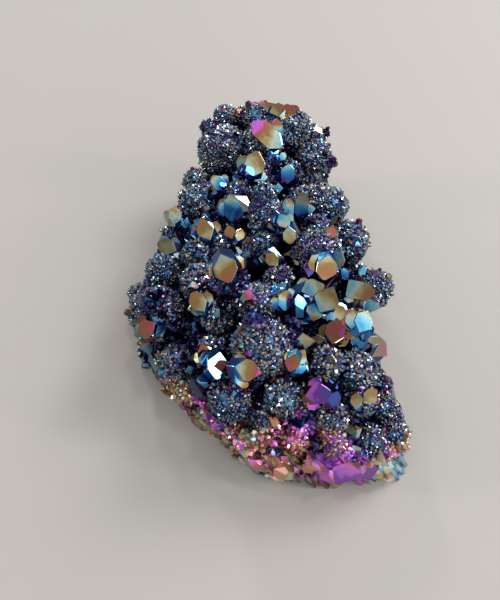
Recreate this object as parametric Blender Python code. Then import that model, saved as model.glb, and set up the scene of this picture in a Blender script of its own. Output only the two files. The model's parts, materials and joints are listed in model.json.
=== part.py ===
"""A druzy quartz cluster with an aura film, grown as one piece of stone and cut flat underneath.

A low body of stone carries rounded knobs covered in small points. Large flat-faced points stand between
the knobs, small ones fill the gaps, and tiers of points cover its side down to the ground. They all
grow into each other, so the cluster is one solid.
Lengths are in millimetres until the last step turns them to metres. +Z is up, and the wide end of the
cluster points to -Y.
"""

import math
import random

import bmesh
import bpy
from mathutils import Matrix, Vector, noise
from mathutils.bvhtree import BVHTree

MM = 0.001
SEED = 11

# The body of stone: its foot outline on the ground, going round from the middle of the wide end.
BODY_HEIGHT = 19.0
FOOT = [
    (14, -51), (23.5, -50), (28, -45.5), (26.5, -34), (24, -20), (26, -6), (23, 12), (18, 24), (19, 37),
    (11, 46), (-2, 47.5), (-12, 44.5), (-15, 32), (-19, 17), (-23, 3), (-29, -8), (-28, -18),
    (-21, -29), (-10.5, -39.5), (0, -48.5),
]
FOOT_STEPS = 4  # points on the smooth outline for each one above
# Rings of the body from the foot to the top: share of its height, and share of the foot outline.
BODY_RINGS = [(0.0, 1.0), (0.28, 1.02), (0.55, 0.96), (0.78, 0.8), (0.94, 0.55), (1.0, 0.25)]
BODY_ROUGHNESS = 0.9  # how far its face strays

# The line under the cluster that the knobs and small points grow away from.
SPINE_START = Vector((6, -38, -14))
SPINE_END = Vector((3, 36, -14))

# Rounded knobs: x, y, z of the centre and the radius.
KNOBS = [
    # the narrow far end
    (-9, 46.5, 26, 4.0), (-9.5, 37.5, 21, 7.8), (-0.5, 44, 28, 4.2), (10, 41, 26, 6.0),
    (16.2, 36, 20, 5.8), (16.3, 42.5, 22, 4.2), (9, 30.5, 19, 4.2), (15, 31, 15, 4.0),
    (2, 37, 25, 6.0), (1, 28, 20, 4.5),
    # the neck
    (-17.2, 29, 17, 4.0), (-16, 17.5, 19, 5.6), (-5, 17.5, 22, 4.2), (1.5, 16, 23, 4.0),
    (17.3, 15.5, 20, 5.2), (12.5, 18.5, 20, 4.0), (-13, 25, 17, 4.2), (17.5, 24, 15, 4.2),
    # the middle
    (3, 2, 27, 5.4), (2, -4.5, 24, 4.6), (22.2, 3, 19, 5.2), (13.5, -8.5, 26, 6.2),
    (-7.5, -2, 23, 3.6), (-22.5, 10.5, 14, 3.6), (-15, -3.5, 21, 3.8), (-23, -4.5, 16, 4.8),
    (-13.5, -13.5, 22, 5.0), (4.5, -15, 25, 4.0), (-2.5, -6.5, 24, 3.0), (14, 4, 22, 4.4),
    (24.5, -5, 14, 4.0), (-4, 8, 21, 4.6),
    # the wide part
    (-23.5, -17.5, 16, 6.9), (-29, -8, 11, 3.8), (-9, -24, 23, 4.0), (-0.5, -23, 26, 4.8),
    (-5.5, -20.5, 23, 3.4), (26, -11, 18, 4.0), (0.5, -34, 25, 6.6), (-19, -29.5, 13, 4.2),
    (-9.5, -31.5, 20, 4.0), (13.5, -37, 24, 3.8), (20, -36.5, 20, 4.8), (25.4, -34, 12, 3.2),
    # above the broken front
    (-6, -42, 18, 4.9), (-16, -34, 9, 3.6), (4.5, -43, 21, 4.0), (9.5, -42.5, 20, 3.2),
    (20.5, -41, 17, 4.2), (26.2, -40, 12, 3.8), (14.5, -45.5, 17, 3.8), (1, -45, 17, 3.2),
    (27.8, -45.5, 10.5, 4.0), (23, -48, 12, 3.8), (15.5, -48, 13, 3.8), (7, -48, 13, 3.6),
    (1, -47.5, 12, 3.0), (-5, -44.5, 10, 3.2), (-11, -39, 7.5, 3.0), (-19.5, -31, 7, 3.0),
]
FINE_KNOB = 4.1  # knobs over this radius have the finer mesh
KNOB_STRETCH = 2.4  # how far a knob's lower half reaches down, in radii
KNOB_LUMPS = 0.3  # how uneven a knob is, in radii
KNOB_SPIKES = 0.15  # height of the small points on a knob, in radii

# Large points: x, y, z of the middle of the tip, its width across, how far the axis leans from upright
# and which way, and which way the widest tip face looks. Angles are in degrees, 0 being +X and 90 +Y.
POINTS = [
    # the narrow far end
    (2.6, 32, 29.5, 5.6, 62, -62, -62), (-0.4, 23.2, 26, 6.6, 25, -80, -90),
    (-11, 19, 23, 4.6, 30, -60, 180), (9.3, 29.5, 21, 6.0, 40, -90, -100),
    (8, 44.5, 30, 5.5, 30, 80, -120), (4.5, 27.5, 25, 3.4, 30, -60, -60),
    # the neck
    (-20.5, 11.5, 18.5, 4.8, 35, 160, -120), (-4.8, 6.6, 26.5, 6.4, 14, 180, -130),
    (8, 10.5, 25, 4.2, 20, -60, -90), (11.8, 8.5, 25, 4.2, 15, -60, -70),
    (-13, 1.4, 24.5, 6.4, 20, -90, -90), (-17, 6, 17, 4.0, 30, 180, -90),
    # the middle
    (7, -4, 30, 5.2, 35, -50, -80), (6.3, -7.5, 28, 4.4, 50, -60, -100),
    (-6.4, -2.5, 27, 3.6, 20, 180, -70), (-3.4, -3.8, 26.5, 3.2, 20, -90, -90),
    (13.2, -17, 29.5, 6.6, 25, -90, -80), (17, -2, 27, 3.4, 20, 60, -100),
    (-23.2, 2.6, 16.5, 5.2, 35, 170, -100), (-6.6, -19.6, 30, 6.6, 18, -90, -60),
    (-2.5, -20.5, 27, 3.6, 25, 0, -20), (2.6, -11, 27.5, 4.6, 20, 180, -120),
    (5.5, -7.8, 25, 4.0, 30, -120, -150),
    # the wide part
    (-24, -24, 17.5, 6.2, 45, -115, -110), (-31, -9, 10.5, 5.6, 60, 170, 180),
    (-13, -21.8, 24.5, 4.8, 25, -120, -90), (4.8, -23, 28.5, 5.6, 25, -60, -100),
    (10.4, -20.8, 27.5, 5.0, 25, -30, -70), (13.2, -18.8, 25, 4.0, 35, 0, -60),
    (19.8, -12.8, 23, 4.4, 40, 10, -60), (25.4, -12.4, 17, 9.0, 58, 8, -80),
    (10, -27.6, 27, 6.6, 20, -80, -60), (14.4, -25, 26.5, 6.2, 20, -60, -90),
    (20.4, -27, 23, 7.4, 32, -25, -60), (16.4, -29.6, 25.5, 5.0, 30, -70, -110),
    (24.6, -28.8, 16.5, 6.0, 55, 12, -70), (-18.4, -32, 14.5, 4.2, 45, -130, -100),
    (-9.2, -37, 20.5, 6.6, 40, -110, -100), (-14.6, -33, 16.5, 3.0, 30, -120, -90),
    (-2.4, -39.4, 23.5, 6.6, 50, -100, -90), (8.6, -33.4, 26.5, 5.2, 15, -90, -80),
    (7.6, -37.8, 25.5, 5.0, 20, -60, -110), (26, -35.4, 13, 4.0, 50, 0, -60),
    (12.8, -43.8, 21, 5.4, 45, -90, -90), (3, -47, 16, 2.8, 55, -100, -90),
    (8, -46.6, 16, 5.0, 50, -90, -120), (17.2, -49, 9, 5.6, 75, -85, -95),
    (22.6, -50, 7.5, 4.6, 75, -80, -80),
]
POINT_BURIED = 3.4  # length of a point below its tip, in widths
TIP_SLOPE = math.radians(51.8)  # a quartz tip face leans this far from square to the axis
WIDE_FACE = -0.20  # how far each kind of tip face is moved along its normal, in half widths
MAIN_FACE = 0.0
SMALL_FACE = 0.30

# Points in tiers round the side of the body: height of the tips, spacing, and lean outwards in degrees.
WALL_TIERS = [(3.0, 4.4, 50), (7.5, 4.6, 44), (12.0, 4.8, 36)]
WALL_WIDTH = (3.0, 5.6)
WALL_SCATTER = 2.2  # how far a tip strays up or down from its tier
# The broken edge runs round the wide end. Its crystals stand steeper there, and all slant one way.
BROKEN_EDGE_Y = -26.0
BROKEN_LEAN = 22
BROKEN_SLANT = Vector((-0.42, 0.12, 0))

# Small points that fill the gaps between the knobs and the large points.
FILL_TRIES = 420
FILL_SPACING = 4.0
FILL_WIDTH = (2.4, 4.2)
FILL_RISE = (2.0, 5.5)  # height of their tips above the body of stone

BUILD_DEPTH = 30.0  # stock left under the ground plane before the flat cut
TRIANGLES = 9400  # the whole cluster has about this many before the flat cut


def clear_scene():
    for old in list(bpy.data.objects):
        bpy.data.objects.remove(old)


def add_object(name, bm):
    mesh = bpy.data.meshes.new(name)
    bm.to_mesh(mesh)
    bm.free()
    made = bpy.data.objects.new(name, mesh)
    bpy.context.scene.collection.objects.link(made)
    return made


def smooth_ring(corners, steps):
    """Points on the closed Catmull-Rom curve through the corners."""
    ring = []
    count = len(corners)
    for index in range(count):
        before, here, after, later = (Vector(corners[(index + k) % count]) for k in (-1, 0, 1, 2))
        for step in range(steps):
            t = step / steps
            ring.append(
                0.5 * (2 * here + (after - before) * t + (2 * before - 5 * here + 4 * after - later) * t * t
                       + (3 * here - before - 3 * after + later) * t * t * t)
            )
    return ring


def growth_axis(place):
    """The direction away from the nearest point of the spine."""
    along = SPINE_END - SPINE_START
    share = min(1.0, max(0.0, (place - SPINE_START).dot(along) / along.length_squared))
    return (place - SPINE_START - along * share).normalized()


def stray(place):
    """A smooth uneven shift for each place."""
    return Vector([noise.noise(place * 0.23 + Vector((0, 0, 40 * axis))) for axis in range(3)])


def body_of_stone(ring):
    """The low stone body: rings of the outline that close in towards the top, with a rough face."""
    centre = Vector((0, 0))
    for point in ring:
        centre += point / len(ring)
    bm = bmesh.new()
    levels = []
    rings = [(-BUILD_DEPTH / BODY_HEIGHT, 0.9)] + BODY_RINGS
    for height, share in rings:
        level = []
        for point in ring:
            flat = centre + (point - centre) * share
            place = Vector((flat.x, flat.y, height * BODY_HEIGHT))
            if 0 < height:
                place += stray(place) * BODY_ROUGHNESS
            level.append(bm.verts.new(place))
        levels.append(level)
    count = len(ring)
    for lower, upper in zip(levels, levels[1:]):
        for k in range(count):
            bm.faces.new((lower[k], lower[(k + 1) % count], upper[(k + 1) % count], upper[k]))
    bm.faces.new(levels[-1])
    bm.faces.new(reversed(levels[0]))
    bmesh.ops.triangulate(bm, faces=bm.faces)
    bmesh.ops.recalc_face_normals(bm, faces=bm.faces)
    return add_object("body_of_stone", bm)


def knob(index, x, y, z, radius, chance):
    """A rounded knob: a spiky ball whose lower half reaches down into the stone along its axis."""
    place = Vector((x, y, z))
    axis = growth_axis(place)
    fine = radius > FINE_KNOB
    bm = bmesh.new()
    bmesh.ops.create_icosphere(bm, subdivisions=2, radius=1.0)
    if fine:
        bmesh.ops.poke(bm, faces=bm.faces)
    turn = axis.to_track_quat("Z", "Y").to_matrix() @ Matrix.Rotation(chance.uniform(0, math.tau), 3, "Z")
    swell = Vector((chance.uniform(0.93, 1.07), chance.uniform(0.93, 1.07), chance.uniform(0.95, 1.1)))
    for vert in bm.verts:
        out = vert.co.normalized()
        lump = 1 + KNOB_LUMPS * noise.noise(out * 1.4 + place * 0.37)
        spike = 1 + KNOB_SPIKES * chance.uniform(-0.6, 1.0)
        shaped = out * lump * spike * swell
        if shaped.z < 0:
            shaped.z *= KNOB_STRETCH
            shaped.x *= 0.94
            shaped.y *= 0.94
        vert.co = place + turn @ (shaped * radius)
    return add_object(f"knob_{index}", bm)


def cut_away(bm, place, normal):
    """Cuts off what lies beyond a plane and closes the cut with one flat face."""
    cut = bmesh.ops.bisect_plane(
        bm, geom=[*bm.verts, *bm.edges, *bm.faces], plane_co=place, plane_no=normal, clear_outer=True
    )
    edges = [item for item in cut["geom_cut"] if isinstance(item, bmesh.types.BMEdge)]
    if edges:
        bmesh.ops.contextual_create(bm, geom=edges)


def quartz_point(name, place, axis, width, buried, wide_face, chance):
    """A six-sided crystal with the middle of its tip at place. Its widest tip face looks to wide_face."""
    side = wide_face - axis * wide_face.dot(axis)
    side.normalize()
    frame = Matrix((side, axis.cross(side), axis)).transposed()
    half = width / 2
    corner = half / math.cos(math.pi / 6)
    reach = width * 2
    bm = bmesh.new()
    length = buried + reach
    bmesh.ops.create_cone(bm, cap_ends=True, segments=6, radius1=corner, radius2=corner, depth=length)
    bmesh.ops.translate(bm, verts=bm.verts, vec=(0, 0, (reach - buried) / 2))
    bmesh.ops.rotate(bm, verts=bm.verts, matrix=Matrix.Rotation(math.pi / 6, 3, "Z"))
    for face in range(6):
        angle = face * math.tau / 6
        normal = Vector((math.sin(TIP_SLOPE) * math.cos(angle), math.sin(TIP_SLOPE) * math.sin(angle),
                         math.cos(TIP_SLOPE)))
        offset = WIDE_FACE if face == 0 else MAIN_FACE if face % 2 == 0 else SMALL_FACE
        offset += chance.uniform(-0.07, 0.07)
        distance = half * (math.sin(TIP_SLOPE) + offset)
        cut_away(bm, normal * distance, normal)
    bmesh.ops.recalc_face_normals(bm, faces=bm.faces)
    for vert in bm.verts:
        vert.co = place + frame @ vert.co
    return add_object(name, bm)


def direction(lean, towards):
    """The unit vector that leans by so many degrees from upright, towards a bearing in degrees."""
    lean, towards = math.radians(lean), math.radians(towards)
    return Vector((math.sin(lean) * math.cos(towards), math.sin(lean) * math.sin(towards), math.cos(lean)))


def large_points(chance):
    made = []
    for index, (x, y, z, width, lean, towards, face_towards) in enumerate(POINTS):
        made.append(
            quartz_point(f"point_{index}", Vector((x, y, z)), direction(lean, towards), width,
                         width * POINT_BURIED, direction(90, face_towards), chance)
        )
    return made


def wall_points(ring, chance):
    """Points in tiers round the foot, looking outwards and up, and slanted blades on the broken edge."""
    made = []
    for height, pitch, lean in WALL_TIERS:
        walked = chance.uniform(0, pitch)
        for here, after in zip(ring, ring[1:] + ring[:1]):
            walked += (after - here).length
            if walked < pitch:
                continue
            walked -= pitch
            outward = Vector((after.y - here.y, here.x - after.x, 0)).normalized()
            broken = here.y < BROKEN_EDGE_Y
            tilt = math.radians(BROKEN_LEAN if broken else lean)
            axis = outward * math.sin(tilt) + Vector((0, 0, math.cos(tilt)))
            axis += Vector((chance.uniform(-1, 1), chance.uniform(-1, 1), chance.uniform(-1, 1))) * 0.28
            if broken:
                axis += BROKEN_SLANT
            axis.normalize()
            width = chance.uniform(*WALL_WIDTH)
            place = Vector((here.x, here.y, height + chance.uniform(-WALL_SCATTER, WALL_SCATTER)))
            place += outward * chance.uniform(-1.2, 0.6)
            made.append(
                quartz_point(f"wall_{len(made)}", place, axis, width, width * 2.6, outward, chance)
            )
    return made


def fill_points(stone, chance):
    """Small points on the body of stone wherever no knob or large point stands."""
    skin = BVHTree.FromPolygons(
        [vert.co for vert in stone.data.vertices], [face.vertices for face in stone.data.polygons]
    )
    taken = [(x, y, radius * 0.8) for x, y, _, radius in KNOBS]
    taken += [(x, y, width * 0.3) for x, y, _, width, *_ in POINTS]
    made = []
    for _ in range(FILL_TRIES):
        x, y = chance.uniform(-30, 30), chance.uniform(-50, 48)
        rise, width = chance.uniform(*FILL_RISE), chance.uniform(*FILL_WIDTH)
        hit = skin.ray_cast(Vector((x, y, 60)), Vector((0, 0, -1)))[0]
        if hit is None or hit.z < 8:
            continue
        if any(math.hypot(x - other[0], y - other[1]) < other[2] for other in taken):
            continue
        taken.append((x, y, FILL_SPACING))
        place = hit + Vector((0, 0, rise))
        axis = growth_axis(place) + Vector((chance.uniform(-1, 1), chance.uniform(-1, 1), 0)) * 0.35
        towards = direction(90, chance.uniform(-180, 0))
        made.append(
            quartz_point(f"fill_{len(made)}", place, axis.normalized(), width, rise + 8, towards, chance)
        )
    return made


def applied(shape):
    """The mesh a shape has once its modifiers are worked out."""
    graph = bpy.context.evaluated_depsgraph_get()
    return bpy.data.meshes.new_from_object(shape.evaluated_get(graph))


def grow_together(stone, shapes):
    """Joins all the shapes with the stone as one solid."""
    joined = bpy.data.collections.new("joined_shapes")
    for shape in shapes:
        joined.objects.link(shape)
    join = stone.modifiers.new("join", "BOOLEAN")
    join.operation = "UNION"
    join.operand_type = "COLLECTION"
    join.collection = joined
    join.solver = "EXACT"
    join.use_self = True
    stone.data = applied(stone)
    stone.modifiers.remove(join)
    for shape in shapes:
        bpy.data.objects.remove(shape)


def piece_around(start):
    """Every vertex that edges join to this one."""
    found = {start}
    waiting = [start]
    while waiting:
        here = waiting.pop()
        for edge in here.link_edges:
            other = edge.other_vert(here)
            if other not in found:
                found.add(other)
                waiting.append(other)
    return found


def keep_the_skin(stone):
    """Keeps the outer skin only, so that gaps closed in between the shapes are filled with stone."""
    bm = bmesh.new()
    bm.from_mesh(stone.data)
    skin = piece_around(max(bm.verts, key=lambda vert: vert.co.z))
    bmesh.ops.delete(bm, geom=[vert for vert in bm.verts if vert not in skin], context="VERTS")
    bmesh.ops.triangulate(bm, faces=bm.faces)
    bm.to_mesh(stone.data)
    bm.free()


def thin_out(stone):
    """Collapses the slivers left where the shapes cross, and keeps the flat faces and the edges."""
    thin = stone.modifiers.new("thin", "DECIMATE")
    thin.ratio = TRIANGLES / len(stone.data.polygons)
    thin.use_collapse_triangulate = True
    stone.data = applied(stone)
    stone.modifiers.remove(thin)


def cut_flat(stone):
    """Cuts off everything under the ground plane."""
    bm = bmesh.new()
    bmesh.ops.create_cube(bm, size=1)
    bmesh.ops.scale(bm, verts=bm.verts, vec=(200, 200, 100))
    bmesh.ops.translate(bm, verts=bm.verts, vec=(0, 0, -50))
    ground = add_object("ground", bm)
    cut = stone.modifiers.new("cut", "BOOLEAN")
    cut.operation = "DIFFERENCE"
    cut.object = ground
    cut.solver = "EXACT"
    stone.data = applied(stone)
    stone.modifiers.remove(cut)
    bpy.data.objects.remove(ground)


def centre_in_metres(stone):
    """Puts the origin under the middle of the cluster's length and width. Millimetres become metres."""
    middle = Vector((0, 0, 0))
    for axis in (0, 1):
        reach = [vert.co[axis] for vert in stone.data.vertices]
        middle[axis] = (min(reach) + max(reach)) / 2
    stone.data.transform(Matrix.Scale(MM, 4) @ Matrix.Translation(-middle))


def aura_material():
    material = bpy.data.materials.new("aura_film")
    material.use_nodes = True
    shader = material.node_tree.nodes["Principled BSDF"]
    shader.inputs["Base Color"].default_value = (0.05, 0.08, 0.19, 1)
    shader.inputs["Metallic"].default_value = 1.0
    shader.inputs["Roughness"].default_value = 0.18
    return material


def main():
    clear_scene()
    chance = random.Random(SEED)
    ring = smooth_ring(FOOT, FOOT_STEPS)
    cluster = body_of_stone(ring)
    shapes = [knob(index, *values, chance) for index, values in enumerate(KNOBS)]
    shapes += large_points(chance)
    shapes += wall_points(ring, chance)
    shapes += fill_points(cluster, chance)
    grow_together(cluster, shapes)
    keep_the_skin(cluster)
    thin_out(cluster)
    cut_flat(cluster)
    keep_the_skin(cluster)
    centre_in_metres(cluster)
    cluster.data.materials.clear()
    cluster.data.materials.append(aura_material())
    cluster.name = "druzy_cluster"


main()
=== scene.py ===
import json
import math

import bpy
from mathutils import Matrix, Vector, noise

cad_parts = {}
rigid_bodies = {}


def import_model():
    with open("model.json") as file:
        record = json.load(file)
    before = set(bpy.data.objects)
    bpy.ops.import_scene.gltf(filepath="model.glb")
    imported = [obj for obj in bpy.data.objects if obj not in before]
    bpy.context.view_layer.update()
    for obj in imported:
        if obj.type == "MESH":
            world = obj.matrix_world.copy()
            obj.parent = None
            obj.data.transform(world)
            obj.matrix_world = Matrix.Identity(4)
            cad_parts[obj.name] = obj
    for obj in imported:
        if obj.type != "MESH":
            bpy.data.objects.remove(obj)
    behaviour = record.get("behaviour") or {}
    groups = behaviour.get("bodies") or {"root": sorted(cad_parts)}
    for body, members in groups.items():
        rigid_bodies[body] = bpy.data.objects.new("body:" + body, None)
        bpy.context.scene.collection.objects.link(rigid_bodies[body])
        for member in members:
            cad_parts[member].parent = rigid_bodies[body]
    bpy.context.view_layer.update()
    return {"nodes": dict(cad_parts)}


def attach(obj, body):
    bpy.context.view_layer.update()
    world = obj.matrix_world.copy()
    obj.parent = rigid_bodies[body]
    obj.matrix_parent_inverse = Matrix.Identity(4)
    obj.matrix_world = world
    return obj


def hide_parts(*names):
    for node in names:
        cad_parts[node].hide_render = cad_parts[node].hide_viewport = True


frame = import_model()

print("frame loaded")


# small helpers for working the way the menus do

def setMode(word):
    bpy.ops.object.mode_set(mode=word)


def deselectAll():
    if bpy.context.object and bpy.context.object.mode != "OBJECT":
        setMode("OBJECT")
    bpy.ops.object.select_all(action="DESELECT")


def makeActive(piece):
    deselectAll()
    piece.select_set(True)
    bpy.context.view_layer.objects.active = piece


def copyOf(piece, name):
    twin = bpy.data.objects.new(name, piece.data.copy())
    bpy.context.scene.collection.objects.link(twin)
    return twin


def nothingSelected(piece, kind):
    makeActive(piece)
    setMode("EDIT")
    bpy.ops.mesh.select_mode(type=kind)
    bpy.ops.mesh.select_all(action="DESELECT")
    setMode("OBJECT")


def selectFaces(piece, wanted):
    # leaves the piece in edit mode with the faces that answer yes selected
    nothingSelected(piece, "FACE")
    for face in piece.data.polygons:
        face.select = wanted(face)
    setMode("EDIT")


def selectPoints(piece, wanted):
    nothingSelected(piece, "VERT")
    for corner in piece.data.vertices:
        corner.select = wanted(corner.co)
    setMode("EDIT")


def applyModifier(piece, kind, settings):
    makeActive(piece)
    change = piece.modifiers.new(kind.lower(), kind)
    for name, value in settings.items():
        setattr(change, name, value)
    bpy.ops.object.modifier_apply(modifier=change.name)


def storeOn(piece, domain, word, values):
    stored = piece.data.attributes.new(word, "FLOAT", domain)
    stored.data.foreach_set("value", values)


def clamp(value, least=0.0, most=1.0):
    return max(least, min(most, value))


def addNode(tree, kind, settings=None, **sockets):
    # settings are the node's own properties, sockets its input values or the links that feed them
    node = tree.nodes.new(kind)
    for name, value in (settings or {}).items():
        setattr(node, name, value)
    for name, value in sockets.items():
        numbered = name[0] == "n" and name[1:].isdigit()  # n0 is the first input, where several share a name
        socket = node.inputs[int(name[1:]) if numbered else name.replace("_", " ")]
        if isinstance(value, bpy.types.NodeSocket):
            tree.links.new(value, socket)
        else:
            socket.default_value = value
    return node


def maths(tree, operation, first, second, third=0.5):
    return addNode(tree, "ShaderNodeMath", {"operation": operation}, n0=first, n1=second, n2=third).outputs[0]


def spreadCloud(tree, cloud, least, most):
    # nearly all of a noise lies in its middle, which is drawn out from the least to the most
    return addNode(tree, "ShaderNodeMapRange", Value=cloud, From_Min=0.3, From_Max=0.7, To_Min=least,
                   To_Max=most).outputs[0]


# the colours of the film, from where it is thinnest to where it is thickest

filmColours = {
    "stops": [
        (0.00, (0.16, 0.03, 0.24)),  # plum
        (0.12, (0.06, 0.05, 0.22)),  # violet blue
        (0.25, (0.02, 0.07, 0.25)),  # deep blue
        (0.37, (0.03, 0.20, 0.42)),  # azure
        (0.47, (0.13, 0.38, 0.46)),  # teal
        (0.54, (0.36, 0.44, 0.38)),  # silver
        (0.60, (0.36, 0.30, 0.15)),  # pale gold
        (0.67, (0.21, 0.145, 0.05)),  # olive gold
        (0.75, (0.25, 0.105, 0.045)),  # orange brown
        (0.82, (0.28, 0.065, 0.065)),  # crimson
        (0.90, (0.48, 0.10, 0.40)),  # magenta
        (1.00, (0.22, 0.07, 0.46)),  # violet
    ],
    "sheenTowardsEye": (0.0, -0.60, 0.80),  # painted sheen: faces that look this way, towards the eye, get the film's colours seen head on
    "falloff": 1.3,  # how fast they go over to its colours seen at a slant as they turn away
    "coatRoughness": 0.06,
    "bumpHeight": 0.0002,
}


def makeFilmGroup():
    group = bpy.data.node_groups.new("auraFilm", "ShaderNodeTree")
    inputs = [("Normal", "NodeSocketVector"), ("Pale Color", "NodeSocketColor")]
    for name in ("Shift", "Tone", "Film Turned Away", "Sheen Towards Eye", "Patches", "Patch Scale", "Pale", "Darkest",
                 "Lightest"):
        inputs.append((name, "NodeSocketFloat"))
    outputs = [("Color", "NodeSocketColor"), ("Cloud", "NodeSocketFloat")]
    for way, sockets in (("INPUT", inputs), ("OUTPUT", outputs)):
        for name, kind in sockets:
            group.interface.new_socket(name=name, in_out=way, socket_type=kind)
    given = addNode(group, "NodeGroupInput").outputs
    place = addNode(group, "ShaderNodeTexCoord").outputs["Object"]

    # painted sheen of the film as seen from the eye: the more a face turns towards it, the further its colour
    # moves
    lean = addNode(group, "ShaderNodeVectorMath", {"operation": "DOT_PRODUCT"},
                   n0=given["Normal"], n1=filmColours["sheenTowardsEye"]).outputs["Value"]
    lean = maths(group, "POWER", maths(group, "MAXIMUM", lean, 0.0), filmColours["falloff"])
    film = maths(group, "MULTIPLY_ADD", lean, given["Sheen Towards Eye"], given["Film Turned Away"])
    cloud = addNode(group, "ShaderNodeTexNoise", {"noise_dimensions": "3D"}, Vector=place,
                    Scale=given["Patch Scale"], Detail=3.0, Roughness=0.55).outputs["Fac"]
    drift = maths(group, "MULTIPLY", maths(group, "SUBTRACT", cloud, 0.5), given["Patches"])
    film = maths(group, "ADD", maths(group, "ADD", film, drift), given["Shift"])
    film = maths(group, "WRAP", film, 1.0, 0.0)  # after the last colour comes the first again

    ramp = addNode(group, "ShaderNodeValToRGB", Fac=film)
    stops = ramp.color_ramp.elements
    while len(stops) > 1:
        stops.remove(stops[-1])
    for number, (at, colour) in enumerate(filmColours["stops"]):
        stop = stops[0] if number == 0 else stops.new(at)
        stop.position = at
        stop.color = (*colour, 1)

    # Tone carries painted light and shade as well as each piece's own lightness: the lighter it is, the paler
    # the colour, and the colour is dimmed or brightened between Darkest and Lightest
    lightShare = maths(group, "MULTIPLY", given["Pale"], maths(group, "POWER", given["Tone"], 2.0))
    paler = addNode(group, "ShaderNodeMix", {"data_type": "RGBA"}, n0=lightShare,
                    n6=ramp.outputs["Color"], n7=given["Pale Color"]).outputs[2]
    dim = addNode(group, "ShaderNodeMapRange", Value=given["Tone"], To_Min=given["Darkest"],
                  To_Max=given["Lightest"]).outputs[0]
    shade = addNode(group, "ShaderNodeMix", {"data_type": "RGBA", "blend_type": "MULTIPLY"},
                    n0=1.0, n6=paler, n7=dim).outputs[2]
    addNode(group, "NodeGroupOutput", Color=shade, Cloud=cloud)
    return group


filmGroup = makeFilmGroup()


def makeFilmMaterial(name, look):
    # one material per kind of surface, all with the same film group and their own values
    material = bpy.data.materials.new(name)
    material.use_nodes = True
    tree = material.node_tree
    shader = tree.nodes["Principled BSDF"]
    place = addNode(tree, "ShaderNodeTexCoord").outputs["Object"]
    film = addNode(tree, "ShaderNodeGroup", {"node_tree": filmGroup})
    tree.links.new(addNode(tree, "ShaderNodeNewGeometry").outputs["True Normal"], film.inputs["Normal"])
    # the tone attribute brings each face's painted light and shade along with its own lightness
    for word, socket in (("film", "Shift"), ("tone", "Tone")):
        read = addNode(tree, "ShaderNodeAttribute", {"attribute_name": word}).outputs["Fac"]
        tree.links.new(read, film.inputs[socket])
    for socket, value in look["film"].items():
        film.inputs[socket].default_value = value
    tree.links.new(film.outputs["Color"], shader.inputs["Base Color"])
    tree.links.new(spreadCloud(tree, film.outputs["Cloud"], *look["roughness"]), shader.inputs["Roughness"])
    shader.inputs["Metallic"].default_value = look["metallic"]
    shader.inputs["Coat Weight"].default_value = look["coat"]
    shader.inputs["Coat Roughness"].default_value = filmColours["coatRoughness"]
    grain = addNode(tree, "ShaderNodeTexNoise", Vector=place, Scale=look["bumpScale"], Detail=2.0)
    bump = addNode(tree, "ShaderNodeBump", Height=grain.outputs["Fac"], Strength=look["bump"],
                   Distance=filmColours["bumpHeight"])
    tree.links.new(bump.outputs["Normal"], shader.inputs["Normal"])
    return material


clearFilm = makeFilmMaterial("clearFaceFilm", {
    "film": {"Film Turned Away": 0.08, "Sheen Towards Eye": 0.60, "Patches": 0.7, "Patch Scale": 130.0, "Pale": 0.0,
             "Darkest": 0.2, "Lightest": 1.15},
    "roughness": (0.07, 0.2), "metallic": 1.0, "coat": 0.2, "bump": 0.12, "bumpScale": 700.0,
})
druzyLook = {
    "film": {"Film Turned Away": 0.08, "Sheen Towards Eye": 0.60, "Patches": 0.3, "Patch Scale": 60.0, "Pale": 0.6,
             "Pale Color": (0.74, 0.70, 0.78, 1), "Darkest": 0.3, "Lightest": 1.0},
    "roughness": (0.14, 0.3), "metallic": 0.9, "coat": 0.4, "bump": 0.05, "bumpScale": 1500.0,
}
druzyFilm = makeFilmMaterial("druzyFilm", druzyLook)
rosyLook = dict(druzyLook, film={**druzyLook["film"], "Pale Color": (0.98, 0.66, 0.76, 1)})
rosyDruzyFilm = makeFilmMaterial("rosyDruzyFilm", rosyLook)  # towards the wide end the sparkle is rosier
brokenFilm = makeFilmMaterial("brokenEdgeFilm", {
    "film": {"Film Turned Away": 0.56, "Sheen Towards Eye": 0.14, "Patches": 0.65, "Patch Scale": 120.0, "Pale": 0.3,
             "Pale Color": (0.66, 0.52, 0.56, 1), "Darkest": 0.55, "Lightest": 3.1},
    "roughness": (0.08, 0.28), "metallic": 0.7, "coat": 0.5, "bump": 0.3, "bumpScale": 900.0,
})
print("film materials made")


# the knobs: round lumps of stone, which the fine druzy grows on

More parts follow.
